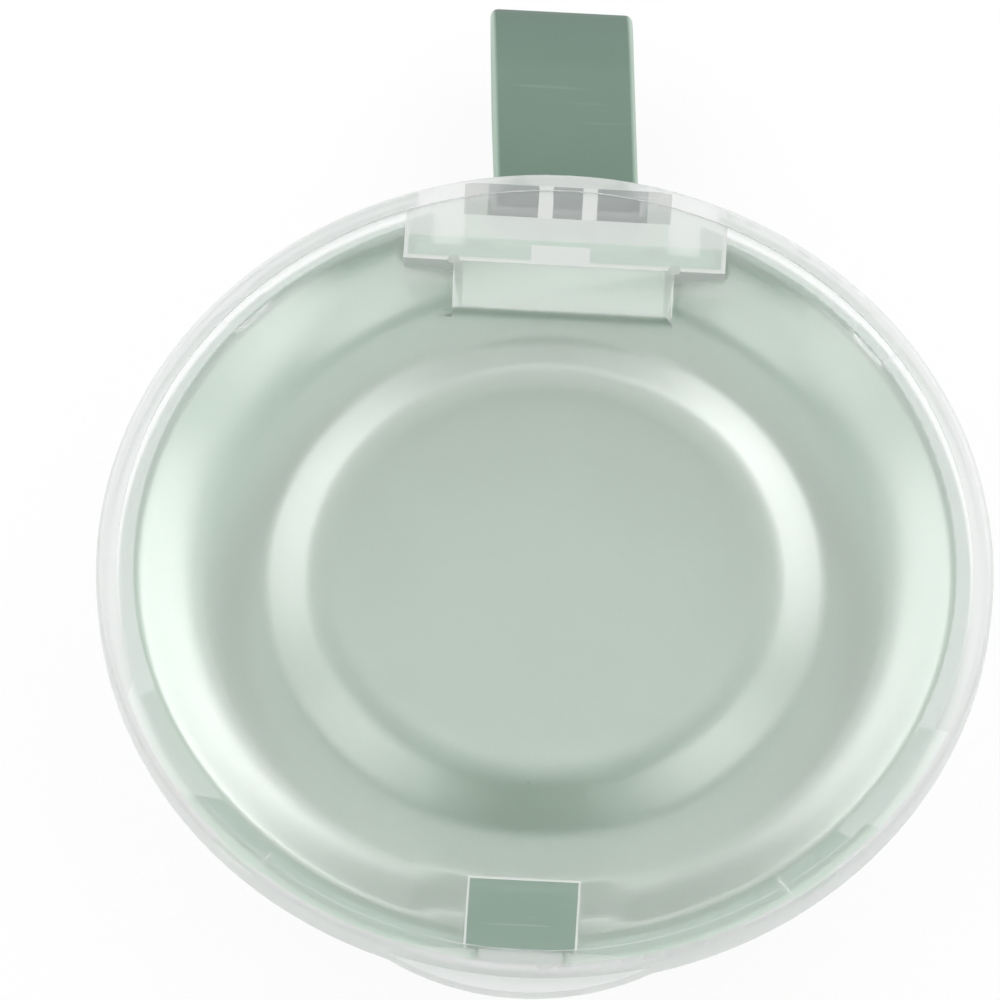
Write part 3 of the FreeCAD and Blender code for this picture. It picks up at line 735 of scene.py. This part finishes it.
def makeStrap(v):
    near, far = Vector((0.0, *v["bar"])), Vector((0.0, *v["fold"]))
    ahead = (far - near).normalized()
    aside = Vector((0.0, -ahead.z, ahead.y))
    tilt = (v["foldInside"] - v["barInside"]) / (far - near).length
    upper = -ahead * tilt + aside * math.sqrt(1 - tilt ** 2)
    lower = -ahead * tilt - aside * math.sqrt(1 - tilt ** 2)
    start = far + upper * v["foldInside"]
    topStep = (near + upper * v["barInside"] - start) / v["runCuts"]
    lowStep = (far + lower * v["foldInside"] - near - lower * v["barInside"]) / v["runCuts"]
    barSweep = upper.angle(-ahead) + lower.angle(-ahead)
    deselectAll()
    bpy.ops.mesh.primitive_plane_add(size=1.0)
    strap = bpy.context.object
    strap.name = "strapBand"
    bpy.ops.object.mode_set(mode="EDIT")
    bpy.ops.mesh.select_all(action="SELECT")
    bpy.ops.mesh.merge(type="CENTER")
    bpy.ops.transform.translate(value=start + Vector((-v["width"] / 2, 0, 0)))
    bpy.ops.mesh.extrude_region_move(TRANSFORM_OT_translate={"value": (v["width"], 0, 0)})
    bpy.ops.mesh.select_all(action="SELECT")  # the two ends of one edge across the band
    for cut in range(v["runCuts"]):
        bpy.ops.mesh.extrude_region_move(TRANSFORM_OT_translate={"value": topStep})
    bpy.ops.mesh.spin(steps=v["barSteps"], angle=-barSweep, center=near, axis=(1, 0, 0))
    for cut in range(v["runCuts"]):
        bpy.ops.mesh.extrude_region_move(TRANSFORM_OT_translate={"value": lowStep})
    bpy.ops.mesh.spin(steps=v["foldSteps"], angle=barSweep - 2 * math.pi, center=far, axis=(1, 0, 0))
    bpy.ops.mesh.select_all(action="SELECT")
    bpy.ops.mesh.remove_doubles(threshold=v["join"])
    bpy.ops.mesh.normals_make_consistent(inside=False)
    bpy.ops.object.mode_set(mode="OBJECT")
    # soft rubber: the far end has swung a little to the left
    for point in strap.data.vertices:
        point.co.x -= v["lean"] * (point.co.y - v["bar"][0])
    wall = strap.modifiers.new("wall", "SOLIDIFY")
    wall.thickness = v["wall"]
    wall.offset = 1.0
    wall.use_even_offset = True
    bpy.ops.object.modifier_apply(modifier=wall.name)
    soften = strap.modifiers.new("soften", "BEVEL")
    soften.width = v["round"]
    soften.segments = v["roundSteps"]
    soften.limit_method = "ANGLE"
    soften.angle_limit = math.radians(v["roundFrom"])
    bpy.ops.object.modifier_apply(modifier=soften.name)
    bpy.ops.object.shade_smooth_by_angle(angle=math.radians(v["smoothAngle"]))
    across = strap.data.attributes.new(strapValues["edgeName"], "FLOAT", "POINT")
    for point in strap.data.vertices:
        middle = -v["lean"] * (point.co.y - v["bar"][0])
        across.data[point.index].value = abs(point.co.x - middle) / (v["width"] / 2)
    strap.data.materials.append(strapMat)
    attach(strap, "strap")
    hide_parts("strap_loop")
    print("strap made:", len(strap.data.polygons), "faces")


makeStrap(bandValues)

# sponge: open-cell foam disc with a soft edge
spongeValues = {
    "radius": 0.0367, "sides": 160, "low": 0.0020, "high": 0.0099,
    "edge": 0.0016, "edgeSteps": 5, "cell": 0.0006,
    "poreSize": 0.0021, "poreDepth": 0.00045, "swellSize": 0.016, "swellDepth": 0.0003,
}
foamValues = {
    "name": "spongeFoam",
    "colourLow": srgb(172, 202, 180), "colourHigh": srgb(186, 213, 193),
    "coarse": 650.0, "fine": 2200.0, "drift": 60.0,
    "scratchLength": 60.0, "scratchAmount": 0.0, "scratchColour": srgb(190, 207, 196),
    "speckScale": 700.0, "speckSize": 0.22, "speckColour": srgb(110, 136, 120),
    "roughLow": 0.80, "roughHigh": 0.95,
    "bump": 0.5, "bumpDistance": 0.0003,
    "shader": {"IOR": 1.40},
}


def pit(piece, name, kind, size, depth):
    # a procedural pattern pressed into the surface, never outwards
    pattern = bpy.data.textures.new(name, kind)
    pattern.noise_scale = size
    press = piece.modifiers.new(name, "DISPLACE")
    press.texture = pattern
    press.texture_coords = "LOCAL"
    press.strength = -depth
    press.mid_level = 0.0
    bpy.ops.object.modifier_apply(modifier=press.name)


def makeSponge(v):
    deselectAll()
    bpy.ops.mesh.primitive_cylinder_add(
        vertices=v["sides"], radius=v["radius"], depth=v["high"] - v["low"],
        location=(0, 0, (v["high"] + v["low"]) / 2))
    sponge = bpy.context.object
    sponge.name = "spongePad"
    bpy.ops.object.transform_apply(location=True, rotation=True, scale=True)
    bpy.ops.object.mode_set(mode="EDIT")
    bpy.ops.mesh.select_all(action="SELECT")
    bpy.ops.mesh.bevel(offset=v["edge"], segments=v["edgeSteps"], affect="EDGES")
    bpy.ops.object.mode_set(mode="OBJECT")
    mesh = sponge.modifiers.new("cells", "REMESH")
    mesh.mode = "VOXEL"
    mesh.voxel_size = v["cell"]
    bpy.ops.object.modifier_apply(modifier=mesh.name)
    pit(sponge, "pores", "VORONOI", v["poreSize"], v["poreDepth"])
    pit(sponge, "swells", "CLOUDS", v["swellSize"], v["swellDepth"])
    bpy.ops.object.shade_smooth()
    sponge.data.materials.append(plasticMaterial(foamValues)[0])
    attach(sponge, "base")
    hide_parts("sponge_pad")
    print("sponge made:", len(sponge.data.polygons), "faces")


makeSponge(spongeValues)

# sheet: thin absorbent disc laid on the sponge, its edge a little cockled
sheetValues = {
    "radius": 0.0360, "sides": 112, "low": 0.01008, "wall": 0.00026, "ring": 0.0027, "rings": 12,
    "cockle": 0.00022, "cockleMiddle": 0.5, "cocklePower": 4,
    "waves": ((0.35, 7, 0.6), (0.15, 3, -1.1)),  # share, number round the edge, and start in radians
    "smoothAngle": 40.0,
}
paperValues = {
    "name": "paletteSheet",
    "colourLow": srgb(134, 163, 140), "colourHigh": srgb(142, 170, 148),
    "coarse": 1300.0, "fine": 4600.0, "drift": 70.0,
    "scratchLength": 90.0, "scratchAmount": 0.08, "scratchColour": srgb(186, 206, 193),
    "speckScale": 500.0, "speckSize": 0.05, "speckColour": srgb(150, 178, 160),
    "roughLow": 0.55, "roughHigh": 0.75,
    "bump": 0.25, "bumpDistance": 0.0001,
    "shader": {"IOR": 1.45},
}


def makeSheet(v):
    deselectAll()
    bpy.ops.mesh.primitive_circle_add(
        vertices=v["sides"], radius=v["radius"], fill_type="NGON", location=(0, 0, v["low"]))
    paper = bpy.context.object
    paper.name = "paletteSheet"
    bpy.ops.object.transform_apply(location=True, rotation=True, scale=True)
    bpy.ops.object.mode_set(mode="EDIT")
    bpy.ops.mesh.select_all(action="SELECT")
    for ring in range(v["rings"]):
        bpy.ops.mesh.inset(thickness=v["ring"])
    bpy.ops.object.mode_set(mode="OBJECT")
    for point in paper.data.vertices:
        out = Vector((point.co.x, point.co.y)).length / v["radius"]
        around = math.atan2(point.co.y, point.co.x)
        wave = v["cockleMiddle"]
        for share, count, start in v["waves"]:
            wave += share * math.sin(count * around + start)
        point.co.z += v["cockle"] * wave * out ** v["cocklePower"]
    wall = paper.modifiers.new("wall", "SOLIDIFY")
    wall.thickness = v["wall"]
    wall.offset = 1.0
    bpy.ops.object.modifier_apply(modifier=wall.name)
    bpy.ops.object.shade_smooth_by_angle(angle=math.radians(v["smoothAngle"]))
    paper.data.materials.append(plasticMaterial(paperValues)[0])
    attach(paper, "base")
    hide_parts("palette_sheet")
    print("sheet made:", len(paper.data.polygons), "faces")


makeSheet(sheetValues)
